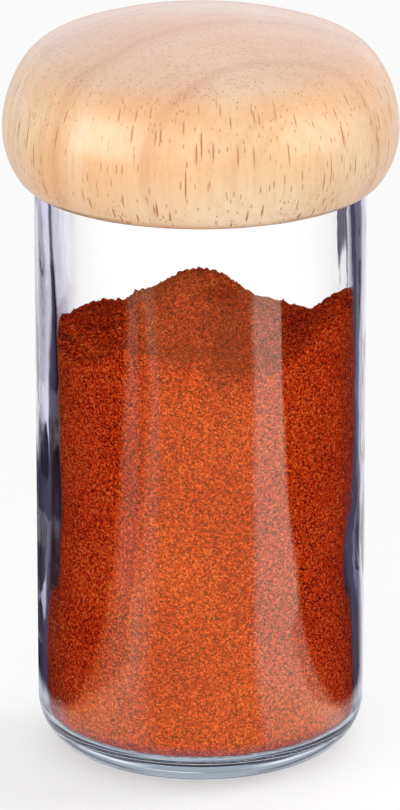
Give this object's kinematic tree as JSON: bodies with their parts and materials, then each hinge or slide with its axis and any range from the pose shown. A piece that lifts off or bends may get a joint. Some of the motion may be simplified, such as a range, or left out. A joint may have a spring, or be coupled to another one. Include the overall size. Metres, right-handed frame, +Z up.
{
  "type": "spice jar",
  "caption": "Round glass spice jar with a push-on turned wooden lid, a lift-out shaker insert and a heaped fill of ground spice.",
  "frame": {"origin": "middle of the base, on the surface that the jar stands on", "axes": "+Z up along the jar's axis, -Y towards the picture's camera, +X to its right"},
  "size_m": [0.057, 0.057, 0.1103],
  "materials": {
    "clear_glass": "clear, polished, slightly uneven inside",
    "red_spice": "loose ground powder, matt",
    "white_plastic": "moulded, satin",
    "ivory_plastic": "moulded, satin",
    "silicone": "translucent white, soft",
    "lid_wood": "turned pale hardwood, satin lacquer"
  },
  "bodies": {
    "jar": {"glass_jar": "clear_glass", "ground_spice": "red_spice"},
    "sifter": {"sifter": "white_plastic"},
    "lid": {"wooden_lid": "lid_wood", "inner_cap": "ivory_plastic", "seal_ring": "silicone"}
  },
  "joints": [
    {"name": "sifter_lift", "type": "slide", "parent": "jar", "child": "sifter", "axis": [0, 0, 1], "range_m": [0, 0.02]},
    {"name": "lid_lift", "type": "slide", "parent": "sifter", "child": "lid", "axis": [0, 0, 1], "range_m": [0, 0.025]}
  ]
}
